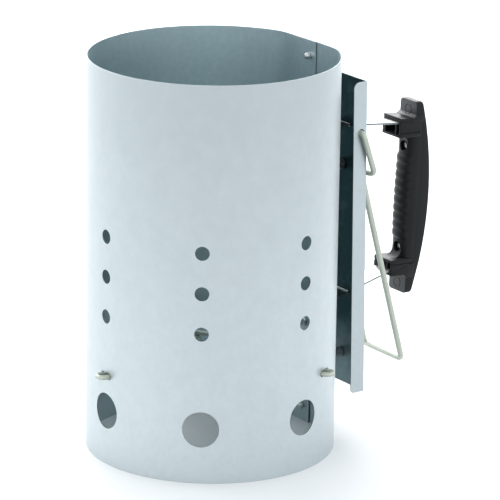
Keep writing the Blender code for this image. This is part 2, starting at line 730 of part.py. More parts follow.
def make_grip_screws(frame, metal):
    """Screws that clamp grip, strap and shell together, with heads in the palm side's recesses."""
    seat = -GRIP_SCREW_SEAT - GAP
    radius, height = GRIP_SCREW_HEAD
    profile = [
        (0, seat - height), (0.65 * radius, seat - 0.9 * height), (radius, seat - 0.45 * height),
        (radius, seat), (GRIP_SCREW_RADIUS, seat), (GRIP_SCREW_RADIUS, GRIP_SCREW_TIP - 1.4 * MM),
        (0, GRIP_SCREW_TIP),
    ]
    for side, name in ((1, "handle_screw_upper"), (-1, "handle_screw_lower")):
        turned_piece(name, profile, grip_axis(side * GRIP_SCREW_OFFSET), metal, frame)


# ---------------------------------------------------------------- bail

def bail_points():
    """Half of the wire from its stub inside the flange to the crossbar, and its mirror image."""
    half = [
        (0, -BAIL_STUB_END, 0), (0, -BAIL_LEG_Y, 0), (BAIL_SHOULDER[0], -BAIL_LEG_Y, BAIL_SHOULDER[1]),
        (BAIL_HEEL[0], -BAIL_HEEL[1], BAIL_HEEL[2]), (BAIL_CORNER[0], -BAIL_CORNER[1], BAIL_CORNER[2]),
    ]
    other = [(x, -y, z) for x, y, z in reversed(half)]
    return rounded_path(half + other, BAIL_BEND)


def make_bail(frame, metal):
    pivot = empty("bail_axis", (BAIL_PIVOT[0], 0, BAIL_PIVOT[1]), frame)
    place("bail", wire("bail", bail_points(), BAIL_WIRE), metal, pivot)


def main():
    clear_scene()
    frame = empty("starter_frame", (AXIS_X, 0, 0))
    sheet = principled("galvanised_sheet", (0.60, 0.64, 0.67), 0.38, 0.85)
    plated = principled("plated_wire", (0.62, 0.64, 0.58), 0.3, 0.9)
    bright = principled("zinc_fastener", (0.66, 0.67, 0.66), 0.28, 0.95)
    plastic = principled("black_plastic", (0.018, 0.02, 0.021), 0.42, 0.0)
    make_cylinder(frame, sheet)
    make_seam_rivets(frame, bright)
    make_grate(frame, plated)
    make_shield(frame, sheet)
    make_shield_fasteners(frame, bright)
    make_strap(frame, plated)
    make_strap_fasteners(frame, bright)
    make_outer_shell(frame, plastic)
    make_inner_grip(frame, plastic)
    make_grip_screws(frame, bright)
    make_bail(frame, plated)


main()
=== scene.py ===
"""Chimney charcoal starter: fine surfaces, materials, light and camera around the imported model.

Lengths are millimetres, measured from the cylinder's axis, until a piece is made. at() turns them into
the model's metres.
"""

import math
import random

import bmesh
import bpy
from mathutils import Matrix, Vector
from mathutils.geometry import delaunay_2d_cdt


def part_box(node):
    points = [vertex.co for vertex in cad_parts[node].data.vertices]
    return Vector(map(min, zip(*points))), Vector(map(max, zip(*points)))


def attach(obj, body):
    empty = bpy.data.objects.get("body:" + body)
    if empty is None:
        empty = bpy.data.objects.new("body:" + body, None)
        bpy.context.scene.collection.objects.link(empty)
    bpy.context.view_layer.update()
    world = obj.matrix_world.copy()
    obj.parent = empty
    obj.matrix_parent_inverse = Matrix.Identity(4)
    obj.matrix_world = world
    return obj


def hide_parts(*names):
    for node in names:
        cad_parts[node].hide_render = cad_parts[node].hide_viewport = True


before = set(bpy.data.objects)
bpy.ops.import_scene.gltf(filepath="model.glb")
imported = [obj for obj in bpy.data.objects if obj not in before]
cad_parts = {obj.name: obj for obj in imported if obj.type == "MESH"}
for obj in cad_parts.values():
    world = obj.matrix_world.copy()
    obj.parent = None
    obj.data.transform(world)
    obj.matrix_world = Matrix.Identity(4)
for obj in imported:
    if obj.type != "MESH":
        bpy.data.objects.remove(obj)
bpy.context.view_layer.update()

MM = 0.001
GAP = 0.3
SIDES = {"upper": 1, "lower": -1}


def node_box(node):
    """A node's lowest and highest corners in millimetres, as world coordinates."""
    low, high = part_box(node)
    return Vector(low) / MM, Vector(high) / MM


def middle(node):
    low, high = node_box(node)
    return (low + high) / 2


AXIS_X = middle("grate_ring_outer").x


def at(point):
    """A point in millimetres from the cylinder's axis, as the model's metres."""
    return Vector((point[0] + AXIS_X, point[1], point[2])) * MM


def axis_box(node):
    """A node's box, measured from the cylinder's axis."""
    low, high = node_box(node)
    shift = Vector((AXIS_X, 0, 0))
    return low - shift, high - shift


# ---- dimensions shared with the model

BODY_HEIGHT = axis_box("cylinder_body")[1].z
BODY_RADIUS = 93.0
BOX_FIT = 0.99955
SEAM_DISTANCE = 87.2
SEAM_BLEND = 1.2
SHEET = 0.8
LAYER_STEP = 1.1
OVERLAP_HALF = 8.0
WALL_OUTSIDE = SEAM_DISTANCE + LAYER_STEP / 2 + SHEET / 2
VENT_COLUMNS = 7
VENT_RADIUS = 5.25
VENT_HEIGHTS = (114.5, 145.0, 175.5)
DRAUGHT_RADIUS = 13.5
DRAUGHT_HEIGHT = 41.5

GRATE_WIRE = 3.5
GRATE_HEIGHT = 69.0
GRATE_RISE = math.radians(14.5)
HAIRPIN_HALF = 4.2
HAIRPIN_TIP = 100.0
HAIRPIN_KNEE = 82.0
HAIRPIN_END = 12.0
HAIRPIN_ANGLES = {"rear": 180, "left": 60, "right": -60}
RING_RADII = {"centre": 16.0, "middle": 40.0, "outer": 64.0}
WELD_RADIUS = 1.35
SLOT_HALF = (6.5, 2.5)

SHIELD_HALF_WIDTH = 30.0
SHIELD_HALF_HEIGHT = 122.35
SHIELD_DEPTH = 12.7
SHIELD_SHEET = 0.9
SHIELD_FOLD = 0.9
SHIELD_X = 120.9
SHIELD_Z = 148.15
SHIELD_LEAN = math.radians(0.76)
SHIELD_TOP_CORNER = 5.0
SHIELD_FOOT_CORNER = 3.0
STRAP_SLOT_HALF = (9.15, 0.95)
STRAP_SLOT_HEIGHTS = (231.85, 99.89)

STRAP_HALF_WIDTH = 9.0
STRAP_THICKNESS = 1.5
STRAP_WALL = WALL_OUTSIDE + GAP + STRAP_THICKNESS / 2
STRAP_BEND = 3.0
STRAP_FOOT_TOP = 258.0
STRAP_ARM_TOP_WALL = 235.3
STRAP_SPINE_TOP = (186.4, 224.3)
STRAP_SPINE_FOOT = (181.2, 115.2)
STRAP_ARM_FOOT_WALL = 91.6
STRAP_FOOT_END = 70.0

BAIL_WIRE = 4.5
BAIL_PIVOT = Vector((114.0, 0, 231.25))
BAIL_HOLE_RADIUS = 2.85
BAIL_BEND = 4.0
BAIL_HALF = (
    (0, -25.0, 0), (0, -32.8, 0), (11.4, -32.8, -33.05), (8.4, -19.5, -33.55), (48.3, -24.0, -188.35),
)
BOLT_CLEARANCE = 2.35
BOLT_HEAD_RADIUS = 3.8
BOLT_HEAD_HEIGHT = 2.4
BOLT_SHANK = 2.0
NUT_CORNER = 4.05
RIVET_HOLE = 1.9

GRIP_CENTRE = Vector((183.6, 0, 165.3))
GRIP_LEAN = math.radians(2.7)
GRIP_HALF_WIDTH = 10.5
JAW_HALF_WIDTH = 11.3
BOW_HEIGHT = 11.97
BOW_RADIUS = 262.0
GRIP_HALF_LENGTH = 76.0
SPINE_CLEARANCE = 1.05
TAB_INSET = 6.0
PLATE = 2.7
JAW_REACH = 21.2
JAW_EDGES = {"upper": 49.0, "lower": -47.9}
JAW_POCKETS = ((-9.7, -6.2), (-4.9, 7.4))
SKIRT_SIDE = 9.3
SKIRT_THICKNESS = 1.15
MARK_RADII = (3.55, 4.1)
MARK_HEIGHTS = {"upper": 68.5, "lower": -69.0}
PALM_DEPTH = 10.2
PALM_ENDS = (-48.5, 50.0)
RIB_COUNT = 10
RIB_PITCH = 6.6
RIB_HEIGHT = 1.05
RIBBED_HALF = RIB_COUNT * RIB_PITCH / 2
GRIP_SCREW_OFFSET = 40.0
GRIP_SCREW_CLEARANCE = 2.1
RECESS_RADIUS = 4.0
SCREW_SEAT = 4.0
SCREW_HEAD_RADIUS = 3.1
SCREW_HEAD_HEIGHT = 2.2


# ---- making objects

def new_object(name, mesh, material):
    made = bpy.data.objects.new(name, mesh)
    mesh.materials.append(material)
    bpy.context.collection.objects.link(made)
    return made


def smoothed(mesh, sharp):
    """Smooth shading, with edges over the given angle in degrees left sharp."""
    mesh.shade_smooth()
    mesh.set_sharp_from_angle(angle=math.radians(sharp))
    return mesh


def turned_out(mesh, weld=False):
    """Turns every face outwards, and can join points that lie on each other."""
    bm = bmesh.new()
    bm.from_mesh(mesh)
    if weld:
        bmesh.ops.remove_doubles(bm, verts=bm.verts, dist=1e-7)
    bmesh.ops.recalc_face_normals(bm, faces=bm.faces)
    bm.to_mesh(mesh)
    bm.free()
    return mesh


def mesh_of(name, points, faces, normals=None):
    """Points are millimetres from the cylinder's axis. Normals are one for each point."""
    mesh = bpy.data.meshes.new(name)
    mesh.from_pydata([at(p) for p in points], [], faces)
    mesh.shade_smooth()
    if normals:
        mesh.normals_split_custom_set_from_vertices([Vector(n).normalized() for n in normals])
    return mesh


def keep(piece, nodes, body="starter"):
    """Hides the model's nodes that a finished piece stands in for, and parents the piece to the body it moves
    with.
    """
    if nodes:
        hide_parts(*nodes)
    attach(piece, body)


def baked(piece):
    """Puts what the modifiers give in place of the mesh."""
    bpy.context.view_layer.update()
    deps = bpy.context.evaluated_depsgraph_get()
    old = piece.data
    made = bpy.data.meshes.new_from_object(piece.evaluated_get(deps))
    piece.modifiers.clear()
    piece.data = made
    bpy.data.meshes.remove(old)


def combined(piece, tool_mesh, operation="DIFFERENCE"):
    """Cuts or joins a mesh into a piece, and drops the tool."""
    tool = bpy.data.objects.new("tool", tool_mesh)
    bpy.context.collection.objects.link(tool)
    modifier = piece.modifiers.new("combine", "BOOLEAN")
    modifier.operation = operation
    modifier.solver = "EXACT"
    modifier.object = tool
    baked(piece)
    bpy.data.objects.remove(tool, do_unlink=True)


def circle(radius, sides, centre=(0, 0)):
    turns = [2 * math.pi * (i + 0.5) / sides for i in range(sides)]
    return [(centre[0] + radius * math.cos(t), centre[1] + radius * math.sin(t)) for t in turns]


def rounded_rectangle(half_a, half_b, radii, steps=8, centre=(0, 0)):
    """Corner radii run from the low-low corner, counterclockwise."""
    points = []
    corners = ((-1, -1, 180), (1, -1, 270), (1, 1, 0), (-1, 1, 90))
    for (side_a, side_b, start), radius in zip(corners, radii):
        hub = (centre[0] + side_a * (half_a - radius), centre[1] + side_b * (half_b - radius))
        for i in range(steps + 1):
            turn = math.radians(start + 90 * i / steps)
            points.append((hub[0] + radius * math.cos(turn), hub[1] + radius * math.sin(turn)))
    return points


# ---- sheet metal, folded from a flat pattern

def inside(loop, box, point):
    """Whether a point is in a loop, by the loop's crossings to its right."""
    x, y = point
    if not (box[0] <= x <= box[2] and box[1] <= y <= box[3]):
        return False
    odd = False
    before = loop[-1]
    for after in loop:
        if (before[1] > y) != (after[1] > y):
            crossing = before[0] + (y - before[1]) * (after[0] - before[0]) / (after[1] - before[1])
            if x < crossing:
                odd = not odd
        before = after
    return odd


def loop_box(loop):
    xs, ys = [p[0] for p in loop], [p[1] for p in loop]
    return min(xs), min(ys), max(xs), max(ys)


def flat_triangles(outline, holes, columns):
    """Triangles of a flat pattern with holes, none of which crosses a column line."""
    points, edges = [], []
    for loop in (outline, *holes):
        start = len(points)
        points.extend(Vector(p) for p in loop)
        edges.extend((start + i, start + (i + 1) % len(loop)) for i in range(len(loop)))
    _, low, _, high = loop_box(outline)
    for column in columns:
        edges.append((len(points), len(points) + 1))
        points.extend((Vector((column, low)), Vector((column, high))))
    made = delaunay_2d_cdt(points, edges, [], 0, 1e-5)
    flat, faces = made[0], made[2]
    rim, boxes = loop_box(outline), [loop_box(h) for h in holes]
    kept = []
    for face in faces:
        a, b, c = (flat[i] for i in face)
        if abs((b - a).cross(c - a)) < 1e-7:
            continue
        centre = (a + b + c) / 3
        if not inside(outline, rim, centre):
            continue
        if any(inside(h, box, centre) for h, box in zip(holes, boxes)):
            continue
        kept.append(tuple(face) if (b - a).cross(c - a) > 0 else tuple(reversed(face)))
    return flat, kept


def folded_sheet(name, outline, holes, columns, surface, thickness, material, edge=0.14, inner=None):
    """surface(s, t) gives the middle of the sheet, its normal, and the unit steps along s and t.
    inner is the material of the side that the normal points away from."""
    flat, faces = flat_triangles(outline, holes, columns)
    directed = {(f[i], f[(i + 1) % 3]) for f in faces for i in range(3)}
    rim = [(a, b) for a, b in directed if (b, a) not in directed]
    outwards = {}
    for a, b in rim:
        along = flat[b] - flat[a]
        out = Vector((along.y, -along.x)).normalized()
        for end in (a, b):
            outwards[end] = outwards.get(end, Vector((0, 0))) + out
    half = thickness / 2
    points, normals, index = [], [], {}

    def add(key, point, normal):
        index[key] = len(points)
        points.append(point)
        normals.append(normal)

    for i in sorted({v for f in faces for v in f}):
        spot, normal, along, up = surface(*flat[i])
        if i in outwards:
            out = outwards[i].normalized()
            push = along * out.x + up * out.y
            add((i, 2), spot + normal * (half - edge), push)
            add((i, 3), spot - normal * (half - edge), push)
            spot = spot - push * edge
        add((i, 0), spot + normal * half, normal)
        add((i, 1), spot - normal * half, -normal)
    made = []
    for a, b, c in faces:
        made.append((index[a, 0], index[b, 0], index[c, 0]))
        made.append((index[c, 1], index[b, 1], index[a, 1]))
    for a, b in sorted(rim):
        for upper, lower in ((0, 2), (2, 3), (3, 1)):
            made.append((index[b, upper], index[a, upper], index[a, lower], index[b, lower]))
    piece = new_object(name, mesh_of(name, points, made, normals), material)
    piece.data.materials.append(inner or material)
    # The middle band of every cut edge: bare steel darkened with painted shade.
    piece.data.materials.append(CUT_EDGE_AND_SEAM_SHADE)
    for i, face in enumerate(piece.data.polygons):
        if i < 2 * len(faces):
            face.material_index = i % 2
        elif (i - 2 * len(faces)) % 3 == 1:
            face.material_index = 2
    return piece


# ---- wire and turned pieces

def rounded_path(points, radius, steps=10):
    points = [Vector(p) for p in points]
    path = [points[0]]
    for before, corner, after in zip(points, points[1:], points[2:]):
        back = (before - corner).normalized()
        ahead = (after - corner).normalized()
        half = back.angle(ahead) / 2
        start = corner + back * (radius / math.tan(half))
        end = corner + ahead * (radius / math.tan(half))
        centre = corner + (back + ahead).normalized() * (radius / math.sin(half))
        arc = (start - centre).angle(end - centre)
        for i in range(steps + 1):
            share = i / steps
            first = math.sin((1 - share) * arc) / math.sin(arc)
            second = math.sin(share * arc) / math.sin(arc)
            path.append(centre + (start - centre) * first + (end - centre) * second)
    path.append(points[-1])
    return path


def banded(rows, sides, closed=False):
    """Faces between rows of points. Both ends are capped unless the rows close on themselves."""
    faces = []
    for row in range(rows if closed else rows - 1):
        a, b = row * sides, (row + 1) % rows * sides
        for i in range(sides):
            j = (i + 1) % sides
            faces.append((a + i, a + j, b + j, b + i))
    if not closed:
        faces.append(tuple(range(sides))[::-1])
        faces.append(tuple((rows - 1) * sides + i for i in range(sides)))
    return faces


def tube_mesh(name, path, radius, sides=20, closed=False, bite=0.35):
    """Sweeps a circle along a path. Open ends are cut square with a small chamfer."""
    path = [Vector(p) for p in path]
    count = len(path)
    tangents = []
    for i in range(count):
        before = path[(i - 1) % count] if closed or i else path[i]
        after = path[(i + 1) % count] if closed or i < count - 1 else path[i]
        tangents.append((after - before).normalized())
    across = tangents[0].orthogonal().normalized()
    rings = []
    for spot, ahead in zip(path, tangents):
        across = (across - ahead * across.dot(ahead)).normalized()
        rings.append((spot, across, ahead.cross(across), radius))
    if not closed:
        caps = []
        for end, inner, side in ((0, 1, 1), (-1, -2, -1)):
            spot, first, second, _ = rings[end]
            step = min(bite, (rings[inner][0] - spot).length / 2)
            caps.append((spot, first, second, radius - step))
            rings[end] = (spot + tangents[end] * side * step, first, second, radius)
        rings = [caps[0], *rings, caps[1]]
    points = []
    for spot, first, second, size in rings:
        for i in range(sides):
            turn = 2 * math.pi * i / sides
            points.append(spot + (first * math.cos(turn) + second * math.sin(turn)) * size)
    return smoothed(mesh_of(name, points, banded(len(rings), sides, closed)), 40)


def moved(x, y, z):
    return Matrix.Translation(Vector((x, y, z)))


def along_x(x, z):
    """Local Z points along +X, from the given spot."""
    return moved(x, 0, z) @ Matrix(((0, 0, 1), (1, 0, 0), (0, 1, 0))).to_4x4()


def turned_mesh(name, profile, matrix, sides=48, sharp=32):
    """Turns a profile of (radius, along) round the matrix's Z. A profile that starts and ends off
    the axis closes on itself, as a tube."""
    if profile[0][0] > 0:
        profile = profile + [profile[0]]
    points, faces, start_rings = [], [], []
    for radius, along in profile:
        start_rings.append((len(points), 1 if radius == 0 else sides))
        if radius == 0:
            points.append(matrix @ Vector((0, 0, along)))
            continue
        for i in range(sides):
            turn = 2 * math.pi * i / sides
            points.append(matrix @ Vector((radius * math.cos(turn), radius * math.sin(turn), along)))
    for (a, na), (b, nb) in zip(start_rings, start_rings[1:]):
        for i in range(sides):
            j = (i + 1) % sides
            face = list(dict.fromkeys((a + i % na, a + j % na, b + j % nb, b + i % nb)))
            if len(face) > 2:
                faces.append(tuple(face))
    return smoothed(turned_out(mesh_of(name, points, faces), weld=True), sharp)


def prism_mesh(name, outline, matrix, low, high, taper=1.0):
    """Extrudes an outline along the matrix's Z. taper scales the outline at the high end."""
    points = [matrix @ Vector((a, b, low)) for a, b in outline]
    points += [matrix @ Vector((a * taper, b * taper, high)) for a, b in outline]
    return turned_out(mesh_of(name, points, banded(2, len(outline))))


# ---- materials

class Nodes:
    """A short way to write the nodes of a material or a world."""

    def __init__(self, owner, shader="Principled BSDF", space="Object"):
        owner.use_nodes = True
        self.owner = owner
        self.tree = owner.node_tree
        self.shader = self.tree.nodes[shader]
        self.position = self.add("TexCoord").outputs[space]

    def add(self, kind):
        return self.tree.nodes.new("ShaderNode" + kind)

    def link(self, source, target):
        self.tree.links.new(source, target)

    def put(self, socket, value):
        """Links a socket, or sets it to a number or a colour."""
        if isinstance(value, bpy.types.NodeSocket):
            self.link(value, socket)
        else:
            socket.default_value = (*value, 1) if isinstance(value, tuple) else value

    def set(self, name, value):
        """Gives an input of the shader a value."""
        self.put(self.shader.inputs[name], value)

    def axis(self, name):
        """The position along an axis."""
        node = self.add("SeparateXYZ")
        self.link(self.position, node.inputs["Vector"])
        return node.outputs[name]

    def noise(self, scale, detail=3, roughness=0.5, stretch=(1, 1, 1)):
        """Noise over the piece, stretched along each axis."""
        mapping = self.add("Mapping")
        mapping.inputs["Scale"].default_value = stretch
        self.link(self.position, mapping.inputs["Vector"])
        node = self.add("TexNoise")
        node.inputs["Scale"].default_value = scale
        node.inputs["Detail"].default_value = detail
        node.inputs["Roughness"].default_value = roughness
        self.link(mapping.outputs["Vector"], node.inputs["Vector"])
        return node.outputs["Fac"]

    def maths(self, operation, first, second, clamp=False):
        node = self.add("Math")
        node.operation = operation
        node.use_clamp = clamp
        for socket, value in zip(node.inputs, (first, second)):
            self.put(socket, value)
        return node.outputs[0]

    def span(self, value, low, high, to_low=0.0, to_high=1.0):
        """Stretches a value, so that low becomes to_low and high becomes to_high."""
        node = self.add("MapRange")
        self.link(value, node.inputs["Value"])
        names = ("From Min", "From Max", "To Min", "To Max")
        for name, number in zip(names, (low, high, to_low, to_high)):
            node.inputs[name].default_value = number
        return node.outputs["Result"]

    def mix(self, factor, first, second):
        node = self.add("Mix")
        node.data_type = "RGBA"
        self.link(factor, node.inputs["Factor"])
        sockets = [s for s in node.inputs if s.type == "RGBA"]
        for socket, value in zip(sockets, (first, second)):
            self.put(socket, value)
        return [s for s in node.outputs if s.type == "RGBA"][0]

    def bump(self, height, strength, distance, after=None):
        node = self.add("Bump")
        node.inputs["Strength"].default_value = strength
        node.inputs["Distance"].default_value = distance
        self.link(height, node.inputs["Height"])
        if after is not None:
            self.link(after, node.inputs["Normal"])
        self.set("Normal", node.outputs["Normal"])
        return node.outputs["Normal"]


def material_nodes(name):
    return Nodes(bpy.data.materials.new(name))


def tinted(colour, factor):
    return tuple(c * factor for c in colour)


def sheet_metal(name, colour, metallic, rough, contrast=1.0):
    """Zinc-coated sheet: a faint spangle, rolling lines up the sheet, and wipe marks."""
    n = material_nodes(name)
    n.set("Metallic", metallic)
    spangle = n.noise(260, 2, 0.5)
    clouds = n.noise(9, 3, 0.5)
    lines = n.noise(70, 3, 0.6, (1, 1, 0.03))
    scuffs = n.span(n.noise(230, 2, 0.5, (1, 1, 0.08)), 0.62, 0.76)
    low, high = tinted(colour, 1 - 0.03 * contrast), tinted(colour, 1 + 0.025 * contrast)
    base = n.mix(n.span(spangle, 0.3, 0.7), low, high)
    base = n.mix(n.span(clouds, 0.3, 0.7, 0.0, 0.5), base, tinted(colour, 1 - 0.03 * contrast))
    n.set("Base Color", base)
    even = n.span(clouds, 0.25, 0.75, rough - 0.015, rough + 0.015)
    grained = n.maths("ADD", even, n.span(lines, 0.3, 0.7, -0.02, 0.02))
    n.set("Roughness", n.maths("ADD", grained, n.maths("MULTIPLY", scuffs, 0.03)))
    normal = n.bump(lines, 0.06, 0.0001)
    n.bump(spangle, 0.05, 0.0001, normal)
    return n


def painted_shading(n, axis, start, stop, shade_colour, gloss=(1, 1, 1)):
    """Painted shade over the base colour, from none at start to full at stop (metres) along an axis, with a
    noisy edge.
    gloss tints the reflections."""
    n.set("Specular IOR Level", 0.12)
    n.set("Specular Tint", gloss)
    share = n.span(n.axis(axis), start, stop)
    patchy = n.maths("ADD", share, n.span(n.noise(90, 3, 0.6), 0.3, 0.7, -0.12, 0.12), True)
    base = n.shader.inputs["Base Color"].links[0].from_socket
    n.set("Base Color", n.mix(patchy, base, shade_colour))
    return n


def drawn_wire(name, colour, rough):
    """Plated wire: soft mottling and fine pits."""
    n = material_nodes(name)
    n.set("Metallic", 0.6)
    mottle = n.noise(420, 3, 0.55)
    streaks = n.noise(60, 2, 0.5)
    base = n.mix(n.span(mottle, 0.3, 0.7), tinted(colour, 0.9), tinted(colour, 1.06))
    olive = (colour[0] * 0.86, colour[1] * 0.87, colour[2] * 0.78)
    n.set("Base Color", n.mix(n.span(streaks, 0.35, 0.7, 0.0, 0.4), base, olive))
    n.set("Roughness", n.span(mottle, 0.3, 0.7, rough - 0.06, rough + 0.08))
    n.bump(mottle, 0.15, 0.0001)
    return n.owner


def zinc_fastener(name, colour, rough):
    """Bright zinc: turning marks, handling dulls and darker low spots."""
    n = material_nodes(name)
    n.set("Metallic", 0.95)
    grain = n.noise(1500, 2, 0.5)
    patches = n.noise(300, 3, 0.6)
    n.set("Base Color", n.mix(n.span(patches, 0.3, 0.7), tinted(colour, 0.82), colour))
    n.set("Roughness", n.span(patches, 0.3, 0.7, rough + 0.12, rough))
    n.bump(grain, 0.1, 0.00005)
    return n.owner


def moulded_plastic(name, colour, rough, gloss):
    """Black moulded plastic: spark-eroded grain, faint flow marks and rubbed spots."""
    n = material_nodes(name)
    grain = n.noise(2600, 2, 0.5)
    flow = n.noise(70, 4, 0.55, (1, 1, 0.5))
    rubbed = n.span(n.noise(900, 2, 0.6), 0.62, 0.75)
    base = n.mix(n.span(flow, 0.3, 0.7), tinted(colour, 0.8), tinted(colour, 1.25))
    n.set("Base Color", n.mix(n.maths("MULTIPLY", rubbed, 0.25), base, tinted(colour, 3.5)))
    even = n.span(flow, 0.3, 0.7, rough - 0.05, rough + 0.05)
    n.set("Roughness", n.maths("ADD", even, n.maths("MULTIPLY", rubbed, 0.08)))
    n.set("Specular IOR Level", gloss)
    n.set("Sheen Weight", 0.12)
    n.set("Sheen Roughness", 0.3)
    n.bump(grain, 0.2, 0.00008)
    return n.owner


# Painted light and shade: the outer sheet's colour is lighter near the bottom and darker towards the top,
# evening out how its reflections light it.
SHEET_METAL = painted_shading(
    sheet_metal("galvanised_sheet", (0.54, 0.596, 0.616), 0.9, 0.39),
    "Z", 0.02, 0.28, (0.432, 0.476, 0.491),
).owner
# Painted light: the inside of the same sheet is a lighter, bluer copy of its metal, standing in for the light
# inside the cylinder.
SHEET_INSIDE_LIT = sheet_metal("sheet_inside", (0.51, 0.62, 0.65), 0.9, 0.38, 2.0).owner
SHIELD_METAL = sheet_metal("galvanised_shield", (0.45, 0.50, 0.52), 0.9, 0.38).owner
# Painted shade: the shield's inner face is a near-black copy of its metal with teal-tinted reflections,
# darkest above 80 mm and lighter at the foot, standing in for the shade in the gap between the wall and the
# shield.
SHIELD_INSIDE_SHADE = painted_shading(
    sheet_metal("shield_inside", (0.13, 0.17, 0.18), 0.6, 0.36, 3.0),
    "Z", 0.040, 0.080, (0.010, 0.018, 0.021), (0.30, 0.62, 0.68),
).owner
# The sheets' cut edges: bare steel, darkened further as painted shade for the shadow line along the seam's
# overlap.
CUT_EDGE_AND_SEAM_SHADE = sheet_metal("cut_edge", (0.14, 0.17, 0.18), 0.8, 0.5, 2.0).owner
WIRE_METAL = drawn_wire("plated_wire", (0.47, 0.50, 0.44), 0.36)
ZINC = zinc_fastener("zinc_fastener", (0.66, 0.67, 0.66), 0.24)
PLASTIC = moulded_plastic("black_plastic", (0.0050, 0.0062, 0.0068), 0.36, 0.19)
# Painted light: a lighter, glossier copy of the black plastic for the tabs' inner faces and fillets.
TAB_PLASTIC_PAINTED_LIGHT = moulded_plastic("tab_plastic_painted_light", (0.024, 0.027, 0.030), 0.34, 0.5)
# Painted shade: the strap turns near-black where it runs between the wall and the shield's back, standing in
# for the shade in that gap.
SHIELD_BACK = (SHIELD_X - SHIELD_SHEET + AXIS_X) * MM
STRIP_METAL = painted_shading(
    sheet_metal("plated_strip", (0.72, 0.73, 0.71), 0.9, 0.30, 2.0),
    "X", SHIELD_BACK, SHIELD_BACK - 0.002, (0.07, 0.085, 0.09),
).owner


# ---- cylinder

LAP = math.atan(OVERLAP_HALF / SEAM_DISTANCE)
FULL_TURN = 2 * math.pi + 2 * LAP


def plan_radius(turn):
    """The sheet's middle radius: round, with a flat chord under the handle."""
    if math.cos(turn) <= 0.2:
        return BODY_RADIUS
    chord = SEAM_DISTANCE / math.cos(turn)
    return BODY_RADIUS - SEAM_BLEND * math.log1p(math.exp((BODY_RADIUS - chord) / SEAM_BLEND))


def plan_point(turn):
    """A point of the spiral, a hair small so that it stays in the faceted model's box."""
    share = (turn + LAP) / FULL_TURN
    radius = (plan_radius(turn) + LAYER_STEP * (share - 0.5)) * BOX_FIT
    return Vector((radius * math.cos(turn), radius * math.sin(turn), 0))


def cylinder_surface(s, t):
    turn = s / BODY_RADIUS
    along = (plan_point(turn + 1e-3) - plan_point(turn - 1e-3)).normalized()
    up = Vector((0, 0, 1))
    return plan_point(turn) + up * t, along.cross(up), along, up


def on_wall(loop, degrees, height):
    """An outline seen along a radius, as the flat pattern's s and t."""
    turn = math.radians(degrees)
    return [((turn + math.asin(a / BODY_RADIUS)) * BODY_RADIUS, height + b) for a, b in loop]


def make_cylinder():
    low, high = -LAP * BODY_RADIUS, (2 * math.pi + LAP) * BODY_RADIUS
    outline = [(low, 0), (high, 0), (high, BODY_HEIGHT), (low, BODY_HEIGHT)]
    holes = []
    for column in range(VENT_COLUMNS):
        degrees = (180 + 360 * column / VENT_COLUMNS) % 360
        holes += [on_wall(circle(VENT_RADIUS, 40), degrees, h) for h in VENT_HEIGHTS]
        holes.append(on_wall(circle(DRAUGHT_RADIUS, 72), degrees, DRAUGHT_HEIGHT))
    for degrees in HAIRPIN_ANGLES.values():
        slot = rounded_rectangle(*SLOT_HALF, [SLOT_HALF[1] - 0.01] * 4)
        holes.append(on_wall(slot, degrees % 360, GRATE_HEIGHT))
    for degrees in (0, 360):
        for side in SIDES:
            rivet = middle(f"seam_rivet_{side}").z
            holes.append(on_wall(circle(RIVET_HOLE, 24), degrees, rivet))
            for kind in ("strap_bolt", "shield_bolt"):
                holes.append(on_wall(circle(BOLT_CLEARANCE, 24), degrees, middle(f"{kind}_{side}").z))
    steps = 264
    columns = [low + (high - low) * (i + 0.5) / steps for i in range(steps)]
    body = folded_sheet(
        "cylinder_sheet", outline, holes, columns, cylinder_surface, SHEET, SHEET_METAL, inner=SHEET_INSIDE_LIT
    )
    keep(body, ["cylinder_body"])


# ---- heat shield

SHIELD_PLACE = moved(SHIELD_X, 0, SHIELD_Z) @ Matrix.Rotation(-SHIELD_LEAN, 4, "Y")
WEB_HALF = SHIELD_HALF_WIDTH - SHIELD_SHEET / 2 - SHIELD_FOLD
FOLD_LENGTH = SHIELD_FOLD * math.pi / 2
FLANGE = SHIELD_DEPTH - SHIELD_SHEET / 2 - SHIELD_FOLD
SHIELD_REACH = WEB_HALF + FOLD_LENGTH + FLANGE


def shield_section(s):
    """X and Y of the sheet's middle, and the direction along it."""
    side = 1 if s >= 0 else -1
    run = abs(s)
    web = -SHIELD_SHEET / 2
    if run <= WEB_HALF:
        return (web, s), (0, 1)
    if run <= WEB_HALF + FOLD_LENGTH:
        turn = (run - WEB_HALF) / SHIELD_FOLD
        x = web - SHIELD_FOLD + SHIELD_FOLD * math.cos(turn)
        y = side * (WEB_HALF + SHIELD_FOLD * math.sin(turn))
        return (x, y), (-side * math.sin(turn), math.cos(turn))
    x = web - SHIELD_FOLD - (run - WEB_HALF - FOLD_LENGTH)
    return (x, side * (WEB_HALF + SHIELD_FOLD)), (-side, 0)


def shield_surface(s, t):
    (x, y), step = shield_section(s)
    turned = SHIELD_PLACE.to_3x3()
    along = turned @ Vector((*step, 0))
    up = turned @ Vector((0, 0, 1))
    return SHIELD_PLACE @ Vector((x, y, t)), along.cross(up), along, up


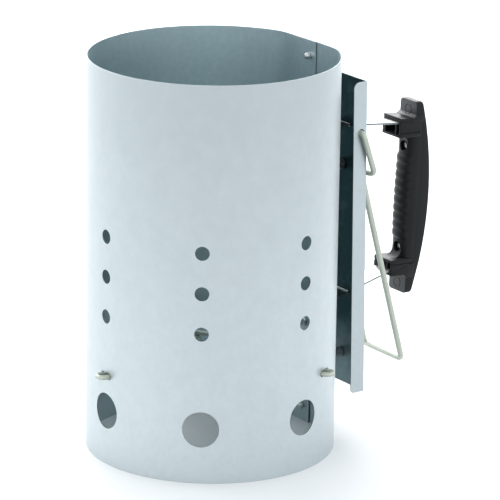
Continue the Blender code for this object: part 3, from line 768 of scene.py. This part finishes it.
def make_shield():
    radii = [SHIELD_FOOT_CORNER, SHIELD_FOOT_CORNER, SHIELD_TOP_CORNER, SHIELD_TOP_CORNER]
    outline = rounded_rectangle(SHIELD_REACH, SHIELD_HALF_HEIGHT, radii)
    holes = []
    for height in STRAP_SLOT_HEIGHTS:
        holes.append(rounded_rectangle(*STRAP_SLOT_HALF, [0.5] * 4, 4, (0, height - SHIELD_Z)))
    for side in SIDES:
        holes.append(circle(BOLT_CLEARANCE, 28, (0, middle(f"shield_bolt_{side}").z - SHIELD_Z)))
    pivot = SHIELD_PLACE.inverted() @ BAIL_PIVOT
    run = WEB_HALF + FOLD_LENGTH + (-SHIELD_SHEET / 2 - SHIELD_FOLD - pivot.x)
    holes += [circle(BAIL_HOLE_RADIUS, 32, (side * run, pivot.z)) for side in (1, -1)]
    folds = [side * (WEB_HALF + FOLD_LENGTH * i / 6) for side in (1, -1) for i in range(7)]
    # The shield's inner side carries painted shade.
    shield = folded_sheet(
        "shield_sheet", outline, holes, folds, shield_surface, SHIELD_SHEET, SHIELD_METAL,
        inner=SHIELD_INSIDE_SHADE,
    )
    keep(shield, ["heat_shield"])


# ---- strap

def strap_path():
    corners = [
        (STRAP_WALL, STRAP_FOOT_TOP), (STRAP_WALL, STRAP_ARM_TOP_WALL), STRAP_SPINE_TOP,
        STRAP_SPINE_FOOT, (STRAP_WALL, STRAP_ARM_FOOT_WALL), (STRAP_WALL, STRAP_FOOT_END),
    ]
    return rounded_path([(x, 0, z) for x, z in corners], STRAP_BEND)


def make_strap():
    path = strap_path()
    lengths = [0.0]
    for before, after in zip(path, path[1:]):
        lengths.append(lengths[-1] + (after - before).length)
    aheads = []
    for i in range(len(path)):
        before, after = path[max(i - 1, 0)], path[min(i + 1, len(path) - 1)]
        aheads.append((after - before).normalized())

    def surface(s, t):
        i = max(k for k in range(len(lengths) - 1) if lengths[k] <= s + 1e-6 or k == 0)
        share = (s - lengths[i]) / (lengths[i + 1] - lengths[i])
        spot = path[i].lerp(path[i + 1], share)
        along = aheads[i].lerp(aheads[i + 1], min(max(share, 0), 1)).normalized()
        across = Vector((0, 1, 0))
        return spot + across * t, along.cross(across), along, across

    def run_to(point):
        """The length along the strap of the spot that is nearest to a point."""
        nearest = []
        for i in range(len(path) - 1):
            for k in range(51):
                away = (path[i].lerp(path[i + 1], k / 50) - point).length
                nearest.append((away, lengths[i] + (lengths[i + 1] - lengths[i]) * k / 50))
        return min(nearest)[1]

    total = lengths[-1]
    outline = rounded_rectangle(total / 2, STRAP_HALF_WIDTH, [3.5] * 4, 8, (total / 2, 0))
    holes = []
    for side in SIDES:
        height = middle(f"strap_bolt_{side}").z
        run = STRAP_FOOT_TOP - height if side == "upper" else total - (height - STRAP_FOOT_END)
        holes.append(circle(BOLT_CLEARANCE, 24, (run, 0)))
    for side in (1, -1):
        screw = GRIP_PLACE @ Vector((0, 0, side * GRIP_SCREW_OFFSET))
        holes.append(circle(GRIP_SCREW_CLEARANCE, 20, (run_to(screw), 0)))
    strap = folded_sheet(
        "strap_strip", outline, holes, lengths[1:-1], surface, STRAP_THICKNESS, STRIP_METAL, 0.2
    )
    keep(strap, ["handle_strap"])


# ---- grate

def hairpin_path():
    """Two legs that fall from the middle to the wall, and the bend that joins them outside it."""
    fall = math.tan(GRATE_RISE)
    inner = GRATE_HEIGHT + (HAIRPIN_KNEE - HAIRPIN_END) * fall
    bend_centre = HAIRPIN_TIP - HAIRPIN_HALF
    leg = [
        (HAIRPIN_END, HAIRPIN_HALF, inner), (HAIRPIN_KNEE, HAIRPIN_HALF, GRATE_HEIGHT),
        (bend_centre, HAIRPIN_HALF, GRATE_HEIGHT),
    ]
    near = rounded_path(leg, 12)
    bend = []
    for i in range(1, 16):
        turn = math.pi / 2 - math.pi * i / 16
        x, y = bend_centre + math.cos(turn) * HAIRPIN_HALF, math.sin(turn) * HAIRPIN_HALF
        bend.append(Vector((x, y, GRATE_HEIGHT)))
    return near + bend + [Vector((p.x, -p.y, p.z)) for p in reversed(near)]


def ring_height(radius):
    along = math.sqrt(radius ** 2 - HAIRPIN_HALF ** 2)
    leg = GRATE_HEIGHT + (HAIRPIN_KNEE - along) * math.tan(GRATE_RISE)
    return leg + (GRATE_WIRE + 1.3 * GAP) / math.cos(GRATE_RISE)


def weld_blob(centre, radius, seed, points, faces):
    """A flattened, uneven bead of weld metal."""
    chance = random.Random(seed)
    rows, sides = 6, 12
    start = len(points)
    for r in range(rows + 1):
        tilt = math.pi * r / rows
        for i in range(sides):
            turn = 2 * math.pi * i / sides
            size = radius * (1 + 0.12 * (chance.random() - 0.5))
            wide, tall = size * math.sin(tilt), 0.62 * size * math.cos(tilt)
            points.append(centre + Vector((wide * math.cos(turn), wide * math.sin(turn), tall)))
    for r in range(rows):
        for i in range(sides):
            j = (i + 1) % sides
            a, b = start + r * sides, start + (r + 1) * sides
            faces.append((a + i, b + i, b + j, a + j))


def make_grate():
    path = hairpin_path()
    for side, degrees in HAIRPIN_ANGLES.items():
        turn = Matrix.Rotation(math.radians(degrees), 4, "Z")
        name = f"hairpin_wire_{side}"
        mesh = tube_mesh(name, [turn @ p for p in path], GRATE_WIRE / 2, 18)
        keep(new_object(name, mesh, WIRE_METAL), [f"grate_hairpin_{side}"])
    for side, radius in RING_RADII.items():
        name = f"ring_wire_{side}"
        steps = 48 if radius < 20 else 96
        path = [Vector((x, y, ring_height(radius))) for x, y in circle(radius, steps)]
        mesh = tube_mesh(name, path, GRATE_WIRE / 2, 18, closed=True)
        keep(new_object(name, mesh, WIRE_METAL), [f"grate_ring_{side}"])
    points, faces = [], []
    for i, radius in enumerate(RING_RADII.values()):
        along = math.sqrt(radius ** 2 - HAIRPIN_HALF ** 2)
        for k, degrees in enumerate(HAIRPIN_ANGLES.values()):
            for side in (1, -1):
                spot = Vector((along, side * HAIRPIN_HALF, ring_height(radius) - GRATE_WIRE / 2 - 0.2))
                spot = Matrix.Rotation(math.radians(degrees), 3, "Z") @ spot
                weld_blob(spot, WELD_RADIUS, 10 * i + 2 * k + side, points, faces)
    welds = new_object("grate_welds", mesh_of("grate_welds", points, faces), WIRE_METAL)
    keep(welds, [])


# ---- fasteners

def pan_head(radius, height):
    """Profile of a pan head from its crown to its seat, with the seat at 0."""
    points = [(0.0, height)]
    for i in range(1, 13):
        turn = math.radians(90 * i / 12)
        crown = height * 0.38 + height * 0.62 * math.cos(turn) ** 0.9
        points.append((radius * math.sin(turn) ** 0.85, crown))
    points += [(radius, 0.12), (radius - 0.12, 0.0)]
    return points


def finish_screw(made, crown, reach, depth, node):
    """Cuts the screw's tapered cross recess, down from its crown, and keeps the screw."""
    blade = [(-reach, -0.45), (reach, -0.45), (reach, 0.45), (-reach, 0.45)]
    for turn in (0, 90):
        spun = crown @ Matrix.Rotation(math.radians(turn), 4, "Z") @ Matrix.Rotation(math.pi, 4, "X")
        combined(made, prism_mesh("blade", blade, spun, -1.0, depth, 0.55))
    smoothed(made.data, 30)
    keep(made, [node])


def bolt(name, head_x, tip_x, node):
    """Pan head bolt along X, with its seat at head_x and its shank to tip_x."""
    out = 1 if head_x > tip_x else -1
    place = moved(head_x, 0, middle(node).z) @ Matrix.Rotation(out * math.pi / 2, 4, "Y")
    length = abs(head_x - tip_x)
    profile = pan_head(BOLT_HEAD_RADIUS, BOLT_HEAD_HEIGHT)
    profile += [(BOLT_SHANK, 0.0), (BOLT_SHANK, -length + 0.5), (BOLT_SHANK - 0.5, -length), (0, -length)]
    made = new_object(name, turned_mesh(name, profile, place), ZINC)
    crown = place @ moved(0, 0, BOLT_HEAD_HEIGHT)
    finish_screw(made, crown, 2.3, 1.5, node)


def nut(name, node, height):
    """A chamfered hexagon nut round X."""
    low, high = (corner.x for corner in axis_box(node))
    place = along_x(0, height)
    hexagon = circle(NUT_CORNER, 6)
    made = new_object(name, prism_mesh(name, hexagon, place, low, high), ZINC)
    cone = [(0, low), (3.35, low), (4.1, low + 0.5), (4.1, high - 0.5), (3.35, high), (0, high)]
    combined(made, turned_mesh("cone", cone, place), "INTERSECT")
    bore = [
        (0, low - 1), (2.6, low - 1), (2.6, low), (2.15, low + 0.45),
        (2.15, high - 0.45), (2.6, high), (2.6, high + 1), (0, high + 1),
    ]
    combined(made, turned_mesh("bore", bore, place))
    smoothed(made.data, 25)
    keep(made, [node])


def make_fasteners():
    for side in SIDES:
        node = f"strap_bolt_{side}"
        low, high = axis_box(node)
        bolt(f"strap_bolt_fine_{side}", low.x + BOLT_HEAD_HEIGHT, high.x, node)
        node = f"shield_bolt_{side}"
        low, high = axis_box(node)
        bolt(f"shield_bolt_fine_{side}", high.x - BOLT_HEAD_HEIGHT, low.x, node)
        nut(f"strap_nut_fine_{side}", f"strap_nut_{side}", middle(f"strap_nut_{side}").z)
        nut(f"shield_nut_fine_{side}", f"shield_nut_{side}", middle(node).z)
        low, high = axis_box(f"shield_spacer_{side}")
        profile = [(2.5, low.x), (4.2, low.x), (4.5, low.x + 0.3)]
        profile += [(4.5, high.x - 0.3), (4.2, high.x), (2.5, high.x)]
        name = f"spacer_fine_{side}"
        mesh = turned_mesh(name, profile, along_x(0, (low.z + high.z) / 2))
        keep(new_object(name, mesh, ZINC), [f"shield_spacer_{side}"])
        make_rivet(side)


def make_rivet(side):
    """A blind rivet: flanged dome with the mandrel's hole outside, swollen tail inside."""
    low, high = axis_box(f"seam_rivet_{side}")
    seat, tail = high.x - 1.2, low.x + 4.2
    profile = [
        (0, high.x - 0.75), (0.75, high.x - 0.75), (0.85, high.x - 0.05), (1.3, high.x), (2.0, high.x - 0.12),
        (2.7, high.x - 0.45), (3.1, seat + 0.2), (3.15, seat), (1.6, seat), (1.6, tail), (2.2, tail),
        (2.55, tail - 0.7), (2.6, tail - 1.5), (2.35, tail - 2.5), (1.9, tail - 3.3), (1.75, tail - 3.7),
        (1.4, tail - 3.75), (1.25, tail - 4.2), (0, tail - 4.2),
    ]
    name = f"rivet_fine_{side}"
    mesh = turned_mesh(name, profile, along_x(0, (low.z + high.z) / 2), 36, 50)
    keep(new_object(name, mesh, ZINC), [f"seam_rivet_{side}"])


# ---- grip

GRIP_PLACE = moved(*GRIP_CENTRE) @ Matrix.Rotation(GRIP_LEAN, 4, "Y")
SIDEWAYS = Matrix(((1, 0, 0), (0, 0, -1), (0, 1, 0))).to_4x4()


def bow(u):
    """How far out the grip's back is at height u."""
    return BOW_HEIGHT - BOW_RADIUS + math.sqrt(BOW_RADIUS ** 2 - u ** 2)


def into_grip(x, z):
    """A point's w, outwards through the grip, and u, up along it."""
    w, _, u = GRIP_PLACE.inverted() @ Vector((x, 0, z))
    return w, u


def arm_u(end, w, offset):
    """Height of the upper or lower strap arm's middle at w, shifted by offset."""
    if end == "upper":
        start, stop = into_grip(STRAP_WALL, STRAP_ARM_TOP_WALL), into_grip(*STRAP_SPINE_TOP)
    else:
        start, stop = into_grip(STRAP_WALL, STRAP_ARM_FOOT_WALL), into_grip(*STRAP_SPINE_FOOT)
    slope = (stop[1] - start[1]) / (stop[0] - start[0])
    return stop[1] + slope * (w - stop[0]) + offset


def grip_prism(outline, half_width):
    """Extrudes an outline of (w, u) across the grip."""
    return prism_mesh("part", outline, GRIP_PLACE @ SIDEWAYS, -half_width, half_width)


def grip_box(low, high):
    """A box between two (w, y, u) corners, where the two heights may come in either order."""
    foot, top = sorted((low[2], high[2]))
    outline = [(low[0], foot), (high[0], foot), (high[0], top), (low[0], top)]
    return prism_mesh("part", outline, GRIP_PLACE @ SIDEWAYS, -high[1], -low[1])


def palmward(u, w):
    """Local Z points towards the palm from a spot in the grip."""
    return GRIP_PLACE @ moved(w, 0, u) @ Matrix.Rotation(-math.pi / 2, 4, "Y")


def bevelled(piece, width, segments):
    modifier = piece.modifiers.new("edges", "BEVEL")
    modifier.width = width * MM
    modifier.segments = segments
    modifier.limit_method = "ANGLE"
    modifier.angle_limit = math.radians(30)
    baked(piece)


def rounding(distance, radius):
    """How far a rounded edge draws back, at a distance from where the edge would be."""
    if distance >= radius:
        return 0.0
    return radius - math.sqrt(max(radius ** 2 - (radius - distance) ** 2, 0.0))


def section_loop(corners, steps):
    """A closed loop of (w, y) from corners of (w, y, radius), counterclockwise."""
    points = []
    count = len(corners)
    for i, (w, y, radius) in enumerate(corners):
        before, after = corners[i - 1], corners[(i + 1) % count]
        hub = Vector((w, y))
        back = (Vector(before[:2]) - hub).normalized()
        ahead = (Vector(after[:2]) - hub).normalized()
        centre = hub + (back + ahead) * radius
        for k in range(steps + 1):
            turn = math.radians(90 * k / steps)
            points.append(centre - ahead * radius * math.cos(turn) - back * radius * math.sin(turn))
    return points


def lofted_mesh(name, sections):
    """Joins loops that have the same number of points, and caps both ends."""
    points = [p for section in sections for p in section]
    return turned_out(mesh_of(name, points, banded(len(sections), len(sections[0]))))


def back_section(u, front):
    """The shell's cross-section at u, from w = front to the bow."""
    from_end = GRIP_HALF_LENGTH - abs(u)
    wide = GRIP_HALF_WIDTH - rounding(from_end, 3.2)
    back = bow(u) - rounding(from_end, 1.4)
    near = front + rounding(from_end, 0.8)
    large = min(2.0, (back - near) * 0.6)
    corners = [(near, -wide, 0.7), (back, -wide, large), (back, wide, large), (near, wide, 0.7)]
    return [GRIP_PLACE @ Vector((p.x, p.y, u)) for p in section_loop(corners, 7)]


def shell_mesh(name):
    """The bowed back, which reaches further in at the tabs past both plates."""
    half = GRIP_HALF_LENGTH
    low_tab, high_tab = arm_u("lower", SPINE_CLEARANCE, -2.0), arm_u("upper", SPINE_CLEARANCE, 2.0)
    ends = [half - 3.2 * (1 - math.cos(math.radians(90 * i / 8))) for i in range(9)]
    stations = [(-u, -TAB_INSET) for u in ends]
    stations += [(low_tab, -TAB_INSET), (low_tab + 0.01, SPINE_CLEARANCE)]
    steps = 40
    inner = [low_tab + 0.01 + (high_tab - low_tab - 0.02) * i / steps for i in range(1, steps)]
    stations += [(u, SPINE_CLEARANCE) for u in inner]
    stations += [(high_tab - 0.01, SPINE_CLEARANCE), (high_tab, -TAB_INSET)]
    stations += [(u, -TAB_INSET) for u in reversed(ends)]
    return lofted_mesh(name, [back_section(u, front) for u, front in stations])


def plate_outline(end):
    """A plate that lies along the outer side of a strap arm, with a flat fillet at its tab."""
    side = SIDES[end]
    lip = -JAW_REACH + 0.6
    seat = STRAP_THICKNESS / 2 + 1.5 * GAP
    fillet = 2.5
    inner = [(lip, arm_u(end, lip, side * seat)), (1.0, arm_u(end, 1.0, side * seat))]

    def top(w):
        return arm_u(end, w if side > 0 else lip, side * (seat + PLATE))

    foot, crown = -TAB_INSET - fillet, -TAB_INSET
    outline = inner + [(1.0, top(1.0) + side * fillet), (crown, top(crown) + side * fillet)]
    outline += [(foot, top(foot)), (lip, top(lip))]
    return outline if side > 0 else outline[::-1]


def light_tab_faces(shell):
    """The tabs' inner faces and the fillets at their foot get a lighter, glossier copy of the plastic:
    painted light on the faces that turn towards the cylinder.
    """
    shell.data.materials.append(TAB_PLASTIC_PAINTED_LIGHT)
    into = GRIP_PLACE.inverted()
    for face in shell.data.polygons:
        w, _, u = into @ (face.center / MM - Vector((AXIS_X, 0, 0)))
        facing = (into.to_3x3() @ face.normal).x
        if facing < -0.55 and -3 < w + TAB_INSET < 0.6 and abs(u) > PALM_ENDS[1] + 3:
            face.material_index = 1


def make_shell():
    """Outer shell: bowed back with end tabs, skirts past the strap's edges, and two plates."""
    name = "grip_shell"
    shell = new_object(name, shell_mesh(name), PLASTIC)
    for end in SIDES:
        plate = new_object("plate", grip_prism(plate_outline(end), JAW_HALF_WIDTH), PLASTIC)
        bevelled(plate, 0.45, 2)
        combined(shell, plate.data, "UNION")
        bpy.data.objects.remove(plate, do_unlink=True)
    foot, crown = arm_u("lower", 0, -1.6), arm_u("upper", 0, 1.6)
    bore, rim = MARK_RADII
    mark = [(bore, -0.5), (rim, -0.5), (rim, 1), (bore, 1)]
    for end, side in SIDES.items():
        low = SKIRT_SIDE if side > 0 else -SKIRT_SIDE - SKIRT_THICKNESS
        skirt = grip_box((-1.0, low, foot), (2.0, low + SKIRT_THICKNESS, crown))
        combined(shell, skirt, "UNION")
        combined(shell, turned_mesh("mark", mark, palmward(MARK_HEIGHTS[end], -TAB_INSET), 40))
    smoothed(shell.data, 28)
    light_tab_faces(shell)
    keep(shell, ["handle_outer_shell"])


def palm_depth(u):
    """The palm side's depth without its ribs: a little fuller in the middle."""
    if abs(u) > RIBBED_HALF:
        return PALM_DEPTH - 1.2
    return PALM_DEPTH - 0.9 + 0.9 * (1 - (u / RIBBED_HALF) ** 2)


def rib_height(u, around):
    """Ribs are round crests between sharp valleys, and die out before the palm's flat sides."""
    if abs(u) > RIBBED_HALF:
        return 0.0
    crest = abs(math.sin(math.pi * (u + RIBBED_HALF) / RIB_PITCH)) ** 0.7
    return crest * RIB_HEIGHT * min(max((around - 0.42) / 0.2, 0.0), 1.0)


def palm_mesh():
    steps = RIB_COUNT * 16
    stations = [PALM_ENDS[0], -44, -RIBBED_HALF - 0.01]
    stations += [-RIBBED_HALF + 2 * RIBBED_HALF * i / steps for i in range(steps + 1)]
    stations += [RIBBED_HALF + 0.01, 44, PALM_ENDS[1]]
    arc = 36
    sections = []
    for u in stations:
        section = []
        for i in range(arc + 1):
            turn = math.pi * i / arc
            around = math.sin(turn) ** 0.8
            w = -SPINE_CLEARANCE - (palm_depth(u) - SPINE_CLEARANCE) * around - rib_height(u, around)
            section.append(GRIP_PLACE @ Vector((w, GRIP_HALF_WIDTH * math.cos(turn), u)))
        sections.append(section)
    return lofted_mesh("grip_palm", sections)


def jaw_block(end):
    """A jaw seen along Y, from its slab to the underside of the plate."""
    side, edge = SIDES[end], JAW_EDGES[end]
    reach = STRAP_THICKNESS / 2 + 1.2 * GAP
    root = -SPINE_CLEARANCE
    outline = [
        (root, edge), (-JAW_REACH, edge), (-JAW_REACH, arm_u(end, -JAW_REACH, side * reach)),
        (root, arm_u(end, root, side * reach)),
    ]
    return outline if side > 0 else outline[::-1]


def make_jaw(end):
    """A hollow jaw: a slot for the strap, two pockets and a groove in each cheek."""
    side, edge = SIDES[end], JAW_EDGES[end]
    jaw = new_object("jaw", grip_prism(jaw_block(end), JAW_HALF_WIDTH), PLASTIC)
    bevelled(jaw, 0.5, 3)
    reach = STRAP_THICKNESS / 2 + 0.25
    mouth, past, root = -JAW_REACH - 5, edge + side * 14, 3
    channel = [
        (mouth, arm_u(end, mouth, -side * reach)), (root, arm_u(end, root, -side * reach)),
        (root, arm_u(end, root, side * 9)), (mouth, arm_u(end, mouth, side * 9)),
    ]
    combined(jaw, grip_prism(channel if side > 0 else channel[::-1], STRAP_HALF_WIDTH + 0.3))
    combined(jaw, grip_box((-4.6, -9.3, edge + side * 3), (2, 9.3, past)))
    for low_y, high_y in JAW_POCKETS:
        combined(jaw, grip_box((-JAW_REACH - 3, low_y, edge + side * 1.9), (-8, high_y, past)))
    for low_y, high_y in ((10.3, 12), (-12, -10.3)):
        groove = grip_box((-JAW_REACH - 2, low_y, edge + side * 3.1), (-1.8, high_y, edge + side * 3.9))
        combined(jaw, groove)
    return jaw


def jaw_cove(end):
    """The hollow curve between the palm and a jaw, seen along Y."""
    side, edge = SIDES[end], JAW_EDGES[end]
    root, radius = -PALM_DEPTH + 1.2 + 0.6, 7.0
    cove = [(root, edge + side * 0.4), (root - radius, edge + side * 0.4)]
    for i in range(9):
        turn = math.radians(90 * i / 8)
        w = root - radius + radius * math.sin(turn)
        cove.append((w, edge - side * radius * (1 - math.cos(turn))))
    return cove if side < 0 else cove[::-1]


def make_inner_grip():
    grip = new_object("grip_palm", palm_mesh(), PLASTIC)
    for end in SIDES:
        jaw = make_jaw(end)
        combined(grip, jaw.data, "UNION")
        bpy.data.objects.remove(jaw, do_unlink=True)
        combined(grip, grip_prism(jaw_cove(end), 5.5), "UNION")
    for side in (1, -1):
        axis = GRIP_PLACE @ along_x(0, side * GRIP_SCREW_OFFSET)
        recess = [(0, -20), (RECESS_RADIUS, -20), (RECESS_RADIUS, -SCREW_SEAT), (0, -SCREW_SEAT)]
        combined(grip, turned_mesh("recess", recess, axis, 40))
        hole = [(0, -6), (1.8, -6), (1.8, 3), (0, 3)]
        combined(grip, turned_mesh("hole", hole, axis, 24))
    smoothed(grip.data, 32)
    keep(grip, ["handle_inner_grip"])


def make_grip_screws():
    for end, side in SIDES.items():
        place = palmward(side * GRIP_SCREW_OFFSET, -SCREW_SEAT - GAP)
        profile = pan_head(SCREW_HEAD_RADIUS, SCREW_HEAD_HEIGHT)
        profile += [(1.5, 0.0), (1.5, -9.5), (0, -10.8)]
        made = new_object(f"grip_screw_{end}", turned_mesh("grip_screw", profile, place), ZINC)
        crown = place @ moved(0, 0, SCREW_HEAD_HEIGHT)
        finish_screw(made, crown, 2.0, 1.4, f"handle_screw_{end}")


# ---- bail

def make_bail():
    other = [(x, -y, z) for x, y, z in reversed(BAIL_HALF)]
    path = [p + BAIL_PIVOT for p in rounded_path([*BAIL_HALF, *other], BAIL_BEND, 12)]
    mesh = tube_mesh("bail_wire", path, BAIL_WIRE / 2, 24, bite=0.5)
    bail = new_object("bail_wire", mesh, WIRE_METAL)
    keep(bail, ["bail"], "bail")


# ---- floor, light and camera

CAMERA_PLACE = Vector((-1.53929, -2.17141, 0.94521))
CAMERA_FORWARD = Vector((0.550801, 0.783125, -0.288676))
CAMERA_UP = Vector((0.154012, 0.244567, 0.957323))
CAMERA_LENS = 266.34
FLOOR_REACH = 30


def make_floor():
    mesh = bpy.data.meshes.new("studio_floor")
    corners = ((-1, -1), (1, -1), (1, 1), (-1, 1))
    mesh.from_pydata([(a * FLOOR_REACH, b * FLOOR_REACH, 0) for a, b in corners], [], [(0, 1, 2, 3)])
    n = material_nodes("studio_floor")
    n.set("Base Color", (0.81, 0.82, 0.83))
    n.set("Roughness", n.span(n.noise(6, 3, 0.5), 0.3, 0.7, 0.55, 0.6))
    floor = new_object("studio_floor", mesh, n.owner)


def area_light(name, location, target, size, power):
    data = bpy.data.lights.new(name, "AREA")
    data.shape = "RECTANGLE"
    data.size, data.size_y = size
    data.energy = power
    lamp = bpy.data.objects.new(name, data)
    lamp.location = location
    lamp.rotation_euler = (Vector(target) - Vector(location)).to_track_quat("-Z", "Y").to_euler()
    bpy.context.collection.objects.link(lamp)


def make_light():
    """A white studio dome, brighter at the horizon, a lamp over the floor and two softboxes."""
    world = bpy.data.worlds.new("studio")
    bpy.context.scene.world = world
    n = Nodes(world, "Background", "Generated")
    n.set("Color", (0.95, 0.98, 1.0))
    towards = n.add("VectorMath")
    towards.operation = "DOT_PRODUCT"
    towards.inputs[1].default_value = (CAMERA_FORWARD.x, CAMERA_FORWARD.y, 0)
    n.link(n.position, towards.inputs[0])
    fade = n.span(n.axis("Z"), 0.0, 1.0, 2.0, 1.1)
    behind = n.span(towards.outputs["Value"], -1.0, 1.0, 0.78, 1.12)
    n.set("Strength", n.maths("MULTIPLY", fade, behind))
    area_light("floor_light", (0.0, 1.1, 0.9), (0.0, 1.1, 0.0), (2.4, 1.4), 8)
    area_light("back_light", (1.15, 1.64, 1.15), (0, 0, 0.15), (1.8, 1.0), 24)
    area_light("left_light", (-0.50, 1.60, 1.55), (0.13, 0, 0.17), (1.3, 1.0), 6)


def make_camera():
    data = bpy.data.cameras.new("camera")
    data.lens = CAMERA_LENS
    camera = bpy.data.objects.new("camera", data)
    back = -CAMERA_FORWARD.normalized()
    right = CAMERA_UP.cross(back).normalized()
    up = back.cross(right)
    turned = Matrix((right, up, back)).transposed().to_4x4()
    camera.matrix_world = Matrix.Translation(CAMERA_PLACE) @ turned
    bpy.context.collection.objects.link(camera)
    bpy.context.scene.camera = camera
    bpy.context.scene.view_settings.view_transform = "Standard"


def main():
    make_camera()
    make_light()
    make_floor()
    make_cylinder()
    make_shield()
    make_strap()
    make_grate()
    make_fasteners()
    make_shell()
    make_inner_grip()
    make_grip_screws()
    make_bail()


main()
